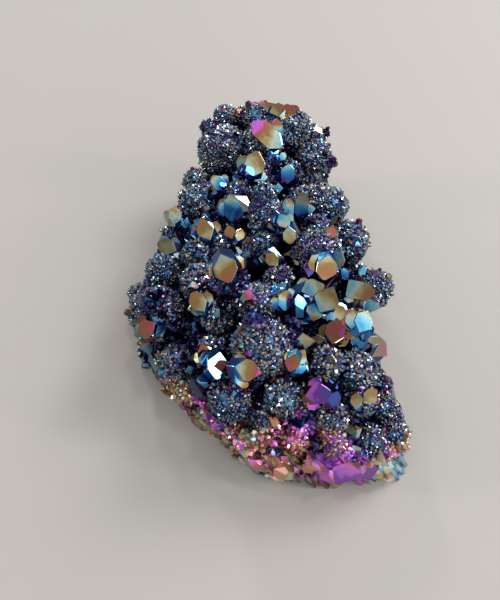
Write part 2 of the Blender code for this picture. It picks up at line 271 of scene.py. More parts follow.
druzyKnobs = {
    "shift": (0.26, 1.06),  # mm from the knobs' own grid to the middle of the piece
    "knobs": [  # mm: x, y, z and radius
        (-9, 46.5, 26, 4), (-9.5, 37.5, 21, 7.8), (-0.5, 44, 28, 4.2), (10, 41, 26, 6),
        (-4.8, 46.3, 27, 2.8), (4.4, 44.8, 27, 3.6), (12.8, 45, 24, 3.2), (7.9, 43.4, 26.4, 2.9),
        (16.2, 36, 20, 5.8), (16.3, 42.5, 22, 4.2), (9, 30.5, 19, 4.2), (15, 31, 15, 4),
        (2, 37, 25, 6), (1, 28, 20, 4.5),
        (-17.2, 29, 17, 4), (-16, 17.5, 19, 5.6), (-5, 17.5, 22, 4.2), (1.5, 16, 23, 4),
        (18.4, 15, 20, 5.6), (12.5, 18.5, 20, 4), (-13, 25, 17, 4.2), (17.5, 24, 15, 4.2),
        (3, 2, 27, 5.4), (2, -4.5, 24, 4.6), (22.8, 3, 19, 5.5), (13.5, -8.5, 26, 6.2),
        (-7.5, -2, 23, 3.6), (-22.5, 10.5, 14, 3.6), (-15, -3.5, 21, 3.8), (-23, -4.5, 16, 4.8),
        (-13.5, -13.5, 22, 5), (4.5, -15, 25, 4), (-2.5, -6.5, 24, 3), (14, 4, 22, 4.4),
        (24.5, -5, 14, 4), (-4, 8, 21, 4.6),
        (-23.5, -17.5, 16, 6.9), (-29, -8, 11, 3.8), (-9, -24, 23, 4), (-0.5, -23, 26, 4.8),
        (-5.5, -20.5, 23, 3.4), (27.6, -10, 16.6, 4.9), (0.5, -34, 25, 6.6), (-19, -29.5, 13, 4.2),
        (-9.5, -31.5, 20, 4), (13.5, -37, 24, 3.8), (20, -36.5, 20, 4.8), (25.4, -34, 12, 3.2),
        (-6, -42, 18, 4.9), (-16, -34, 9, 3.6), (4.5, -43, 21, 4), (9.5, -42.5, 20, 3.2),
        (20.5, -41, 17, 4.2), (26.2, -40, 12, 3.8), (14.5, -45.5, 17, 3.8), (1, -45, 17, 3.2),
        (27.8, -45.5, 10.5, 4), (23, -48, 12, 3.8), (15.5, -48, 13, 3.8), (7, -48, 13, 3.6),
        (1, -47.5, 12, 3), (-5, -44.5, 10, 3.2), (-11, -39, 7.5, 3), (-19.5, -31, 7, 3),
    ],
    "underSkin": 0.45,  # mm: the balls stand this much under the solid's skin, for the druzy to fill
    "lightFrom": (0.3, -0.1, 0.95),
    "light": (0.32, 0.4, 4.0),  # painted light: of every knob, of what looks towards lightFrom, and its growth past endFrom
    "endFrom": 0.02,  # where the narrow end starts along the piece
    "film": (0.3, 70),  # how far the film of the knobs' bed wanders, and how often
    "lobeSize": 0.0027,
    "lobeDepth": 0.0009,
    "finerFrom": 0.0055,  # the radius from which a ball has smaller faces
    "inKnob": 0.0015,  # what lies this deep in another knob or in the body bears no druzy
    "inBody": 0.0004,
}
knobPlaces = [(Vector((x + druzyKnobs["shift"][0], y + druzyKnobs["shift"][1], z)) / 1000, radius / 1000)
              for x, y, z, radius in druzyKnobs["knobs"]]


def makeKnobs():
    deselectAll()
    balls = []
    for middle, radius in knobPlaces:
        bpy.ops.mesh.primitive_ico_sphere_add(subdivisions=4 if radius < druzyKnobs["finerFrom"] else 5,
                                              location=middle, radius=radius - druzyKnobs["underSkin"] / 1000)
        balls.append(bpy.context.object)
    for ball in balls:
        ball.select_set(True)
    bpy.ops.object.join()
    knobs = bpy.context.object
    knobs.name = "druzyKnobs"
    bpy.ops.object.transform_apply(location=True, rotation=True, scale=True)
    lobes = bpy.data.textures.new("knobLobes", "VORONOI")
    lobes.noise_scale = druzyKnobs["lobeSize"]
    applyModifier(knobs, "DISPLACE", {"texture": lobes, "texture_coords": "LOCAL", "mid_level": 0.0,
                                      "strength": -druzyKnobs["lobeDepth"]})
    return knobs


knobs = makeKnobs()
print("knobs made:", len(knobs.data.polygons), "faces")


# the body: the solid's own clear crystals, with the bed sunk between the knobs

crystalBody = {
    "node": "druzy_cluster",
    "weld": 1e-6,
    "flatWithin": math.radians(3),
    "keptUnder": 0.002,  # the foot stays where it is under this height
    "underside": 0.0002,
    "knobReach": (0.6, 1.24),  # in radii: how far from a knob's middle its skin may lie
    "knobFacing": 0.7,  # and how nearly it looks away from there
    "alsoDruzy": [((9.9, 42.5, 33.0), 3.4), ((-9.0, 37.2, 29.5), 3.2)],  # places in mm and how far round them
    "cuts": 2,
    "smoothing": 7,
    "sink": 0.0018,  # the skin of the knobs goes in by this much
    "druzyUpTo": (0.12, 0.4, 260),  # how far druzy climbs up the clear crystals, how unevenly and how often
    "coreVoxel": 0.003,
    "coreSmoothing": 12,
    "coreDepth": 0.0035,
    "fullRise": 0.0075,
    "dark": (0.3, 0.5),  # painted shade, of the full rise: it is dark up to here, and full light comes so much higher
    "clearFilm": (0.06, 0.2, 0.3),  # of a clear face, how far faces differ, and its growth towards the tips
    "bedFilm": -0.33,  # the stone under the druzy is bluer than its grains, and darker as painted shade between them
    # painted shade: the stone between the grains keeps this share of its light
    "bedShade": 0.4,
    "inKnob": 0.0014,  # what lies this deep in a knob bears no druzy
    "pinch": ((-10.25, 15.46, 19.45), 0.12),  # where two of its faces meet twice, and how far round it, in mm
}
bareFrom = 0.0008  # nothing grows under this height

brokenEdge = {
    "top": [(-30, 11), (-22, 12.5), (-14, 11.5), (-8, 11), (-2, 14.5), (3, 18), (15, 18), (19, 15), (22, 13),
            (30, 12)],
    "backTo": -30,  # mm along the piece: the break runs round the wide end to here on the left
    "rightFrom": 20,
    "rightBackTo": -44,  # and to here on the right
    "lookingBack": 0.4,  # faces that look back by more than this are no part of it
    "topWander": (2.4, 0.3),  # how far its top wanders in mm, and how often
    # under this height the break shows bare stone
    "foot": [(-34, 4), (-14, 4.5), (-8, 6), (-3, 8.5), (4, 10.5), (9, 9), (12, 10.5), (24, 10.5), (28, 7),
             (34, 5)],
    "footWander": (2.0, 200),
    # film along the width: of the druzy over the break, and of the bare stone at its foot
    "druzyFilm": [(-34, 0.14), (-14, 0.12), (-8, 0.16), (3, 0.10), (10, 0.18), (15, 0.32), (30, 0.24)],
    "footFilm": [(-34, 0.18), (-14, 0.10), (-6, 0.0), (6, 0.06), (10, 0.16), (13, 0.32), (21, 0.34),
                 (24, -0.04), (30, -0.08)],
    "filmWander": (0.1, 260),
}


# the clear crystals: each is cut like the points, then turned until its widest face lies where it should

clearCrystals = {
    "bevel": 0.018,
    "root": 0.0,
    "cut": {"wide": 0.58, "narrow": 0.66, "uneven": 0.08, "tall": 1.4},  # how far out the tip's faces lie
    "longer": (1.05, 0.35),  # than wide: at least, and how much they differ
    "light": (0.15, 0.68, 0.55),  # painted shade towards the foot: the least, at the foot of the widest face, and how much more at its tip
    "clearing": 0.75,  # in widths: how far round it the body is let down, by the next value
    "makeWay": 0.0018,
    # the smaller ones grown beside a large one: how far aside, towards the tip and back, size, turn, tip turn
    "companions": [(-0.52, -0.18, 0.14, 0.62, (-17, 6), -24), (0.46, -0.42, 0.20, 0.54, (19, -9), 30),
                   (0.34, 0.40, 0.30, 0.50, (8, 22), 50)],
    "companionsFrom": 3.3,  # mm wide
    "towardsEye": (0.0, -0.643, 0.766),  # the side that the piece is mostly seen from
    "upwards": (0.0, 0.766, 0.643),
    "rows": [
        # middle of the widest face in mm, width, how early that face cuts in, its turn right and up in
        # degrees, the way its tip points (0 is up, 90 right), film at the tip and at the foot, tone, and for
        # some how much longer than wide; the tone is partly painted light, higher on those turned to mirror
        # the window light so that their glint is brighter
        ((3, 32.6, 32.2), 5, -0.2, 0, -6, -38, 0.28, -0.18, 0.72, 2.0),
        ((-0.3, 23.6, 28.6), 6, 0.1, -5, -5, 20, 0.01, -0.1, 1.3, 1.1),
        ((-1.6, 21, 27.4), 3.4, 0.37, 26, 31, 160, -0.06, -0.19, 1.1),
        ((5.2, 32.3, 25.8), 2.6, 0.22, 22, 24, 40, -0.08, -0.21, 1.1),
        ((7.2, 31, 25.2), 2.2, -0.1, 12, 4, 30, -0.1, -0.27, 1.0),
        ((8.4, 27, 22.4), 4.4, -0.1, -4, -14, 0, -0.04, -0.41, 0.9),
        ((-10.1, 20.5, 25), 3.4, -0.1, -14, 2, -32, 0.0, -0.37, 1.0),
        ((-8.9, 19, 25.2), 1.8, 0.22, 25, 30, -30, -0.1, -0.27, 1.1),
        ((-5.8, 7.2, 27.8), 4, -0.2, 16, -10, 2, -0.1, -0.37, 0.7, 1.6),
        ((-7.8, 7.6, 27), 3.2, -0.2, -26, -14, -4, 0.0, -0.29, 0.6, 1.7),
        ((7.6, 3.6, 30.6), 2.8, -0.2, 14, -6, 5, 0.06, -0.33, 0.85, 1.9),
        ((11.4, 8.6, 27.4), 3.2, -0.2, 6, -8, 8, 0.06, -0.33, 0.85, 2.0),
        ((-12.5, 1.6, 26.6), 4.6, 0.32, -8, 2, -20, 0.05, -0.1, 0.95),
        ((-20.6, 12.3, 20.9), 3.6, 0.0, 24, 29, 14, -0.04, -0.12, 1.2, 1.5),
        ((-23.1, 2.8, 18.4), 4.4, 0.12, -18, -4, -70, 0.03, -0.13, 0.9),
        ((-6.2, -2, 28.4), 2.8, 0.15, -6, 4, -15, 0.09, 0.0, 0.9),
        ((-3.9, -2.2, 27.8), 2.6, 0.22, 10, 2, 20, 0.03, -0.15, 0.9),
        ((6.2, -3.3, 32), 3.4, 0.22, 6, 6, 150, 0.0, -0.13, 1.0),
        ((6.9, -6.4, 30.2), 3.2, 0.12, -6, 2, 175, 0.02, -0.12, 0.9),
        ((16.5, -5.9, 31.5), 2.8, 0.12, 18, 6, 110, 0.14, -0.01, 0.9),
        ((-6.3, -18.8, 32.3), 5.4, 0.2, -12, 10, 150, 0.1, -0.09, 0.9),
        ((14.6, -17.3, 31.8), 5.2, 0.1, 2, -3, 186, 0.02, -0.11, 0.78),
        ((19.4, -13.6, 26.4), 2.2, -0.2, 24, 22, 0, -0.2, -0.35, 1.2),
        ((2.9, -11.2, 28.9), 3.2, 0.22, -8, 2, -40, 0.12, -0.03, 0.9),
        ((12.1, -20.6, 29.6), 4.4, 0.22, 12, 14, 70, -0.02, -0.19, 0.8),
        ((8.7, -25, 30.6), 3, 0.32, 26, 31, 0, -0.08, -0.19, 1.1),
        ((11.6, -27, 29.4), 4.4, 0.27, 21, 24, 200, 0.2, -0.17, 1.2),
        ((14.5, -24.6, 30.4), 5.8, 0.27, -2, 8, 30, 0.05, -0.08, 0.6),
        ((18.6, -27.1, 27.4), 5.2, 0.27, 5, 9, -60, 0.15, -0.03, 0.62),
        ((22, -27.2, 27.2), 4.8, 0.17, 22, 12, 30, -0.02, -0.19, 1.2),
        ((21.4, -29.6, 23.4), 4.2, 0.22, 25, -18, 20, -0.16, -0.35, 0.9),
        ((23.3, -14.6, 21.8), 4.6, -0.4, -5, 4, 100, 0.05, -0.21, 0.6),
        ((5.6, -23.6, 29), 3.6, -0.2, 10, -10, 0, 0.02, -0.35, 0.9),
        ((-12.9, -21.5, 27.2), 4, 0.17, -10, 4, -30, 0.07, -0.13, 0.85),
        ((-14, -16.5, 25.8), 1.8, -0.3, 22, 26, 120, -0.04, -0.15, 1.1),
        ((-24, -24.4, 20.8), 4.2, 0.12, -10, 0, 60, 0.22, 0.15, 0.75, 1.1),
        ((-2.2, -23.4, 31), 2.6, 0.22, 4, 4, 30, 0.14, 0.01, 0.9),
        ((7.9, -37, 27.7), 3.6, 0.22, 14, 12, 30, 0.0, -0.19, 1.1),
        ((6.3, -38.4, 27.2), 3.2, 0.22, -10, 4, 200, 0.09, -0.05, 0.9),
        ((14, -37.4, 26.8), 3, 0.12, -8, -10, 20, -0.02, -0.17, 0.7),
        ((-8.8, -38, 24.8), 4.8, 0.2, 26, 31, 200, -0.05, -0.05, 1.3, 1.5),
        # painted shade: this one's low tone darkens it beside the glint of the one before
        ((-7, -37.2, 24.8), 3, 0.22, 24, 29, 80, 0.28, 0.23, 0.45, 1.4),
        ((-1.9, -39.6, 27), 4.4, 0.22, 4, 9, 100, 0.2, -0.17, 1.1),
        ((-11.3, -32.4, 23.2), 3.6, 0.27, -12, 6, -20, 0.11, -0.03, 0.9),
        ((12.1, -42.8, 23.6), 4.2, 0.1, -4, 6, 80, 0.46, 0.34, 0.75, 1.2),
        ((14.9, -43.2, 22.8), 2.8, 0.1, 8, 2, 20, 0.36, 0.48, 0.7, 1.1),
        ((3, -46, 19.2), 1.9, -0.3, 24, 26, -8, 0.2, 0.07, 1.3),
        ((22.6, -41.2, 20.8), 3.2, 0.22, 8, 6, 50, 0.07, -0.07, 0.85),
        ((19.6, -42.4, 20.8), 2.6, 0.12, -6, 4, 10, 0.0, -0.13, 0.85),
        ((-0.6, 45.6, 31.4), 3.8, 0.22, -6, 8, -60, 0.28, 0.13, 1.0),
        ((3.7, 46, 30.4), 3.4, 0.1, 0, -6, 60, 0.06, -0.04, 0.85, 1.3),
        ((6.8, 45, 30.4), 3.8, 0.1, 2, -4, 70, 0.04, -0.03, 0.8, 1.4),
        ((10.3, 42.6, 31.6), 3.8, 0.1, 8, 0, 50, 0.2, 0.1, 0.75, 1.3),
        ((9.2, 45.2, 29.4), 3, 0.2, -6, 4, -30, 0.16, 0.04, 0.8, 1.2),
        ((-4.6, 46.4, 29.4), 2.4, 0.22, 24, 28, 10, 0.2, 0.09, 1.2),
        ((17.6, 40, 27.4), 2.6, 0.22, 25, 29, 60, 0.22, 0.09, 1.1),
        ((15.9, -29.3, 26.8), 4.6, 0.15, -6, 4, 12, 0.1, 0.04, 0.45, 1.1),
        ((12.6, -31, 25), 3.2, 0.2, -8, -4, -14, 0.03, -0.28, 0.6, 1.3),
    ],
}


footCrystals = {  # the coarse crystals that the break has laid bare, in the same terms
    "clearing": 0.7,
    "rows": [
        ((14.4, -50.6, 6.8), 5.6, 0.3, -14, -30, -10, 0.34, 0.22, 0.32, 1.3),
        ((18.8, -51.2, 7.4), 6.8, 0.2, 2, -34, 14, 0.26, 0.38, 0.4, 1.2),
        ((22.8, -50.6, 6), 5.2, 0.3, 18, -30, -20, 0.38, 0.24, 0.34, 1.2),
        ((27, -49.6, 5.4), 4.6, 0.3, 24, -30, 10, -0.08, -0.14, 0.6, 1.1),
        ((-0.4, -48.6, 8.2), 3.2, 0.5, -16, -26, -26, 0.3, 0.06, 0.5, 1.8),
        ((4.6, -50.2, 7.8), 3, 0.5, -18, -30, -24, 0.12, -0.02, 0.6, 2.0),
        ((10.2, -50.3, 8.6), 3.4, 0.5, -6, -32, -26, 0.16, 0.06, 0.5, 1.5),
    ],
}

dullCrystal = ((26, -28.2, 18.4), 5.4, 0.2, 12, 4, 130, 0.17, -0.08, 0.45, 1.1)  # its film is duller


def facing(row):
    eye, upwards = Vector(clearCrystals["towardsEye"]), Vector(clearCrystals["upwards"])
    aside, above = math.tan(math.radians(row[3])), math.tan(math.radians(row[4]))
    return (eye + Vector((1, 0, 0)) * aside + upwards * above).normalized()


def tipDirection(row):
    faceWay, turn = facing(row), math.radians(row[5])
    tipWay = Vector(clearCrystals["upwards"]) * math.cos(turn) + Vector((1, 0, 0)) * math.sin(turn)
    return (tipWay - faceWay * tipWay.dot(faceWay)).normalized()


def onKnob(centre, normal):
    near, far = crystalBody["knobReach"]
    for middle, radius in knobPlaces:
        out = centre - middle
        within = near * radius < out.length < far * radius
        if within and out.normalized().dot(normal) > crystalBody["knobFacing"]:
            return True
    return any((centre * 1000 - Vector(place)).length < reach for place, reach in crystalBody["alsoDruzy"])


def fromStops(stops, x):
    for (x0, value0), (x1, value1) in zip(stops, stops[1:]):
        if x <= x1:
            return value0 + (value1 - value0) * max(0.0, x - x0) / (x1 - x0)
    return stops[-1][1]


def wander(word, place):
    # how far a value strays at a place
    most, often = brokenEdge[word]
    return most * noise.noise(place * often)


def isBroken(centre, normal):
    # the broken edge lies low round the wide end: its height goes from stop to stop along the width
    x, y, z = centre * 1000
    top = fromStops(brokenEdge["top"], x) + wander("topWander", Vector((x, y, z)))
    if x > brokenEdge["rightFrom"] and y > brokenEdge["rightBackTo"]:
        return False
    return z < top and y < brokenEdge["backTo"] and normal.y < brokenEdge["lookingBack"]


def lowOnEdge(place):
    # the foot of the break, where the stone is bare of druzy
    foot = fromStops(brokenEdge["foot"], place.x * 1000) + wander("footWander", place)
    return 1.0 if place.z * 1000 < foot else 0.0


def edgeFilm(place):
    stops = brokenEdge["footFilm" if lowOnEdge(place) else "druzyFilm"]
    return fromStops(stops, place.x * 1000) + wander("filmWander", place)


def makeBody():
    body = copyOf(frame["nodes"][crystalBody["node"]], "crystalBody")
    makeActive(body)
    setMode("EDIT")
    bpy.ops.mesh.select_all(action="SELECT")
    bpy.ops.mesh.remove_doubles(threshold=crystalBody["weld"])
    bpy.ops.mesh.dissolve_limited(angle_limit=crystalBody["flatWithin"])
    kept = crystalBody["keptUnder"]
    for row in clearCrystals["rows"]:  # the body makes way where a clear crystal of its own stands
        place, reach, out = Vector(row[0]) / 1000, row[1] * clearCrystals["clearing"] / 1000, facing(row)
        selectPoints(body, lambda corner: (corner - place).length < reach and corner.z > kept)
        bpy.ops.transform.translate(value=-out * clearCrystals["makeWay"])
    selectFaces(body, lambda face: onKnob(face.center, face.normal))
    bpy.ops.mesh.quads_convert_to_tris()
    bpy.ops.mesh.subdivide(number_cuts=crystalBody["cuts"])
    setMode("OBJECT")
    storeOn(body, "FACE", "druzy", [float(face.select) for face in body.data.polygons])
    setMode("EDIT")
    bpy.ops.mesh.select_less()
    bpy.ops.mesh.vertices_smooth(factor=0.5, repeat=crystalBody["smoothing"])
    bpy.ops.transform.shrink_fatten(value=-crystalBody["sink"])
    setMode("OBJECT")
    clear = [value.value < 0.5 for value in body.data.attributes["druzy"].data]
    selectFaces(body, lambda face: clear[face.index] and face.center.z > crystalBody["underside"])
    bpy.ops.mesh.quads_convert_to_tris()
    bpy.ops.mesh.subdivide(number_cuts=crystalBody["cuts"])
    setMode("OBJECT")
    return body


def makeCore(body):
    # the stone deep inside: how far a place stands out is measured from its skin
    core = copyOf(body, "core")
    applyModifier(core, "REMESH", {"mode": "VOXEL", "voxel_size": crystalBody["coreVoxel"]})
    applyModifier(core, "SMOOTH", {"factor": 0.5, "iterations": crystalBody["coreSmoothing"]})
    applyModifier(core, "DISPLACE", {"strength": -crystalBody["coreDepth"], "mid_level": 0.0})
    return core


def heightOver(ground, place):
    near, normal = ground.closest_point_on_mesh(place)[1:3]
    return (place - near).dot(normal)


def paintedCreviceLight(rise):
    # painted shade: it is dark deep between the knobs and full on what stands out
    under, growth = crystalBody["dark"]
    return clamp((rise - under) / growth)


def clearBodyFilm(normal, rise):
    # faces that look the same way have the same film
    evenly, apart, growth = crystalBody["clearFilm"]
    way = Vector([round(part * 4) for part in normal]) * 3.1
    return evenly + apart * (noise.cell(way) - 0.5) + growth * (rise - 0.8)


def knobsAround(place, depth):
    # how many knobs a place lies in, deeper than this
    return sum((place - middle).length < radius - depth for middle, radius in knobPlaces)


def nearFootCrystal(place):
    return any((place - Vector(row[0]) / 1000).length < row[1] * footCrystals["clearing"] / 1000
               for row in footCrystals["rows"])


def paintBody(body, core):
    # film is a face's own share of film, tone how light it is and light what the grains take on, both with
    # painted shade deep between the knobs, broken marks the break and bare what can be grown on
    mesh = body.data
    faces = mesh.polygons
    edge = [isBroken(face.center, face.normal) for face in faces]
    rise = [clamp(heightOver(core, corner.co) / crystalBody["fullRise"]) for corner in mesh.vertices]
    upTo, uneven, often = crystalBody["druzyUpTo"]
    for value, face in zip(mesh.attributes["druzy"].data, faces):
        height = sum(rise[corner] for corner in face.vertices) / len(face.vertices)
        if height < upTo + uneven * noise.noise(face.center * often):
            value.value = 1.0
    druzy = [value.value > 0.5 for value in mesh.attributes["druzy"].data]
    mesh.materials.clear()
    for material in (clearFilm, druzyFilm, brokenFilm):
        mesh.materials.append(material)
    film, tone, bare = [], [], []
    for face, broken, covered in zip(faces, edge, druzy):
        face.material_index = 2 if broken else 1 if covered else 0
        face.use_smooth = False
        bedFilm = edgeFilm(face.center) if broken else crystalBody["bedFilm"]
        for corner in face.vertices:
            film.append(bedFilm if broken or covered else clearBodyFilm(face.normal, rise[corner]))
            tone.append(paintedCreviceLight(rise[corner]) * (crystalBody["bedShade"] if covered else 1.0))
        place = face.center
        hidden = knobsAround(place, crystalBody["inKnob"]) or nearFootCrystal(place)
        bare.append(0.0 if hidden or place.z < bareFrom else 1.0)
    storeOn(body, "CORNER", "film", film)
    storeOn(body, "POINT", "light", [paintedCreviceLight(part) for part in rise])
    storeOn(body, "CORNER", "tone", tone)
    storeOn(body, "FACE", "broken", [float(part) for part in edge])
    storeOn(body, "FACE", "low", [lowOnEdge(face.center) for face in body.data.polygons])
    storeOn(body, "FACE", "bare", bare)


def paintKnobs(knobs, body):
    mesh = knobs.data
    faces = mesh.polygons
    edge = [isBroken(face.center, face.normal) for face in faces]
    mesh.materials.append(druzyFilm)
    mesh.materials.append(brokenFilm)
    farthest, often = druzyKnobs["film"]
    film, bare = [], []
    for face, broken in zip(faces, edge):
        face.material_index = 1 if broken else 0
        place = face.center
        bedFilm = crystalBody["bedFilm"] + farthest * noise.noise(place * often)
        film.append(edgeFilm(place) if broken else bedFilm)
        sunk = knobsAround(place, druzyKnobs["inKnob"]) > 1 or heightOver(body, place) < -druzyKnobs["inBody"]
        bare.append(0.0 if sunk or place.z < bareFrom or nearFootCrystal(place) else 1.0)
    storeOn(knobs, "FACE", "bare", bare)
    storeOn(knobs, "FACE", "broken", [float(part) for part in edge])
    storeOn(knobs, "FACE", "low", [lowOnEdge(face.center) for face in knobs.data.polygons])
    storeOn(knobs, "FACE", "druzy", [1.0] * len(bare))
    storeOn(knobs, "FACE", "film", film)
    # painted light: a knob is lighter where it looks towards lightFrom and further towards the narrow end
    least, above, towardsEnd = druzyKnobs["light"]
    lightFrom = Vector(druzyKnobs["lightFrom"]).normalized()
    light = [least + above * max(0.0, corner.normal.dot(lightFrom))
             + towardsEnd * max(0.0, corner.co.y - druzyKnobs["endFrom"]) for corner in mesh.vertices]
    storeOn(knobs, "POINT", "light", light)
    storeOn(knobs, "POINT", "tone", [part * crystalBody["bedShade"] for part in light])


body = makeBody()
core = makeCore(body)
paintBody(body, core)
paintKnobs(knobs, body)
for piece in (body, knobs):
    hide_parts(crystalBody["node"])
    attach(piece, "root")
print("body shaped and painted:", len(body.data.polygons), "faces")


# quartz points, cut from a six-sided prism as a crystal grows: three wide faces and three narrow at the tip

pointCut = {
    "slope": math.radians(51.8),
    "prismTop": 2.0,  # in the prism's own widths
    "meet": 0.62,  # a face this far out crosses the axis right at the top
}

pointShapes = {  # how far out the three wide and the three narrow faces lie, in the prism's own widths
    "pointed": {"wide": (0.62, 0.66, 0.60), "narrow": (0.66, 0.70, 0.64), "tall": 1.5},
    "threeSided": {"wide": (0.50, 0.52, 0.56), "narrow": (0.80, 0.76, 0.82), "tall": 1.3},
    "chisel": {"wide": (0.30, 0.74, 0.72), "narrow": (0.78, 0.70, 0.80), "tall": 1.2},
    "steep": {"wide": (0.72, 0.44, 0.50), "narrow": (0.70, 0.86, 0.62), "tall": 1.7},
}

grainShapes = {  # the druzy's own small grains: sides, width, shaft, tip and how far the tip lies aside
    "blunt": {"sides": 6, "width": 0.44, "shaft": 0.42, "tip": 0.34, "aside": (0.10, 0.03)},
    "sharp": {"sides": 5, "width": 0.38, "shaft": 0.40, "tip": 0.52, "aside": (-0.06, 0.08)},
    "leaning": {"sides": 5, "width": 0.46, "shaft": 0.36, "tip": 0.36, "aside": (0.26, -0.04)},
}
grainRoot = 0.3  # how far a grain's base goes under ground


def tipFaceNormal(number):
    turn, slope = math.radians(60 * number + 30), pointCut["slope"]
    return Vector((math.cos(turn) * math.sin(slope), math.sin(turn) * math.sin(slope), math.cos(slope)))


def makePoint(name, shape, root=-1.0, bevel=0.0):
    # root is where the prism starts, and the bevel is for the worn edges of the larger ones
    top = pointCut["prismTop"]
    deselectAll()
    bpy.ops.mesh.primitive_cylinder_add(vertices=6, radius=0.5, depth=top - root,
                                        location=(0, 0, (top + root) / 2))
    point = bpy.context.object
    point.name = name
    bpy.ops.object.transform_apply(location=True, rotation=False, scale=False)
    for number in range(6):
        # every face of the tip crosses the axis near the top and lies a little further out where it is narrow
        outward = shape["narrow" if number % 2 else "wide"][number // 2]
        meet = Vector((0, 0, shape["tall"])) - Vector((0, 0, pointCut["meet"] - outward))
        setMode("EDIT")
        bpy.ops.mesh.select_all(action="SELECT")
        bpy.ops.mesh.bisect(plane_co=meet, plane_no=tipFaceNormal(number), use_fill=True, clear_outer=True)
        setMode("OBJECT")
    setMode("EDIT")
    bpy.ops.mesh.select_all(action="SELECT")
    bpy.ops.mesh.dissolve_limited(angle_limit=math.radians(1))
    bpy.ops.mesh.select_all(action="SELECT")
    bpy.ops.mesh.normals_make_consistent(inside=False)
    if bevel:
        bpy.ops.mesh.bevel(offset=bevel, segments=1, affect="EDGES", clamp_overlap=True)
    setMode("OBJECT")
    storeOn(point, "POINT", "rise", [clamp(corner.co.z / shape["tall"]) for corner in point.data.vertices])
    return point


def makeGrain(name, shape):
    # a small prism whose top is drawn up to a tip off its middle
    deselectAll()
    bpy.ops.mesh.primitive_cylinder_add(vertices=shape["sides"], radius=shape["width"],
                                        depth=shape["shaft"] + grainRoot,
                                        location=(0, 0, (shape["shaft"] - grainRoot) / 2))
    grain = bpy.context.object
    grain.name = name
    bpy.ops.object.transform_apply(location=True, rotation=False, scale=False)
    selectFaces(grain, lambda face: face.normal.z > 0.9)
    bpy.ops.mesh.poke()
    selectPoints(grain, lambda corner: corner.xy.length < 0.01 and corner.z > 0)
    bpy.ops.transform.translate(value=(*shape["aside"], shape["tip"]))
    setMode("OBJECT")
    storeOn(grain, "POINT", "rise", [1.0 if corner.co.z > 0 else 0.0 for corner in grain.data.vertices])
    return grain


def gather(name, shapes):
    home = bpy.data.collections.new(name)
    bpy.context.scene.collection.children.link(home)
    for shape in shapes:
        for old in list(shape.users_collection):
            old.objects.unlink(shape)
        home.objects.link(shape)
    return home


grains = gather("grains", [makeGrain(name, shape) for name, shape in grainShapes.items()])
points = gather("points", [makePoint(name, shape) for name, shape in pointShapes.items()])
print("grains and points modelled")

groundLevel = 0.0001


def finishPiece(piece, material):
    # what would reach under the ground ends on it
    selectPoints(piece, lambda corner: corner.z < groundLevel)
    bpy.ops.transform.resize(value=(1, 1, 0), center_override=(0, 0, groundLevel))
    setMode("OBJECT")
    piece.data.materials.clear()
    piece.data.materials.append(material)
    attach(piece, "root")
    print(piece.name, len(piece.data.polygons), "faces")


def makeCrystal(number, row):
    place, width, early = row[:3]
    tipFilm, footFilm, tone = row[6:9]
    cut = clearCrystals["cut"]
    shift = [cut["uneven"] * noise.cell(Vector((number, part, 0.5))) for part in range(5)]
    wide = (early, cut["wide"] + shift[0], cut["wide"] + shift[1])
    narrow = tuple(cut["narrow"] + part for part in shift[2:])
    crystal = makePoint("crystal", {"wide": wide, "narrow": narrow, "tall": cut["tall"]},
                        clearCrystals["root"], clearCrystals["bevel"])
    mesh = crystal.data
    faceOut = tipFaceNormal(0)
    alike = [face for face in mesh.polygons if face.normal.dot(faceOut) > 0.99]
    widest = max(alike, key=lambda face: face.area)
    middle = Vector(widest.center)  # the crystal is placed and turned by this face
    heights = [mesh.vertices[corner].co.z for corner in widest.vertices]
    low, high = min(heights), max(heights)
    rise = [(corner.co.z - low) / (high - low) for corner in mesh.vertices]
    least, atFoot, growth = clearCrystals["light"]
    storeOn(crystal, "POINT", "film", [footFilm + (tipFilm - footFilm) * clamp(part, -1.0) for part in rise])
    # painted shade: a crystal's tone is darker towards its foot among the druzy
    storeOn(crystal, "POINT", "tone", [tone * clamp(atFoot + growth * part, least) for part in rise])
    faceWay, tipWay = facing(row), tipDirection(row)
    along = (Vector((0, 0, 1)) - faceOut * faceOut.z).normalized()
    own = Matrix((faceOut, along, faceOut.cross(along)))
    wanted = Matrix((faceWay, tipWay, faceWay.cross(tipWay)))
    turn = wanted.transposed() @ own
    evenly, apart = clearCrystals["longer"]
    longer = row[9] if len(row) > 9 else evenly + apart * noise.cell(Vector((number, 7.5, 0.5)))
    crystal.matrix_world = (Matrix.Translation(Vector(place) / 1000) @ Matrix.Scale(longer, 4, tipWay)
                            @ turn.to_4x4() @ Matrix.Scale(width / 1000, 4) @ Matrix.Translation(-middle))
    return crystal


def withCompanions(rows):
    for number, row in enumerate(rows):
        yield row
        place, width, early, right, up, tip, tipFilm, footFilm, tone = row[:9]
        if width < clearCrystals["companionsFrom"]:
            continue
        faceWay, tipWay = facing(row), tipDirection(row)
        side = tipWay.cross(faceWay)
        flip = 1 if number % 3 else -1
        for part, (aside, along, back, size, (turn, lift), tipTurn) in enumerate(clearCrystals["companions"]):
            if part == 2 and number % 2:  # every second one has only two
                continue
            middle = Vector(place) + (side * aside * flip + tipWay * along - faceWay * back) * width
            # its widest face is wider, and each is a little bluer and darker than the one before
            yield (tuple(middle), width * size, early - 0.2, right + turn * flip, up + lift,
                   tip + tipTurn * flip, tipFilm - 0.05 * part, footFilm - 0.08, tone * (1 - 0.12 * part))


def makeCrystals(name, rows, material):
    crystals = [makeCrystal(number, row) for number, row in enumerate(rows)]
    deselectAll()
    for crystal in crystals:
        crystal.select_set(True)
    bpy.context.view_layer.objects.active = crystals[0]
    if len(crystals) > 1:
        bpy.ops.object.join()
    piece = bpy.context.object
    piece.name = name
    bpy.ops.object.transform_apply(location=True, rotation=True, scale=True)
    finishPiece(piece, material)


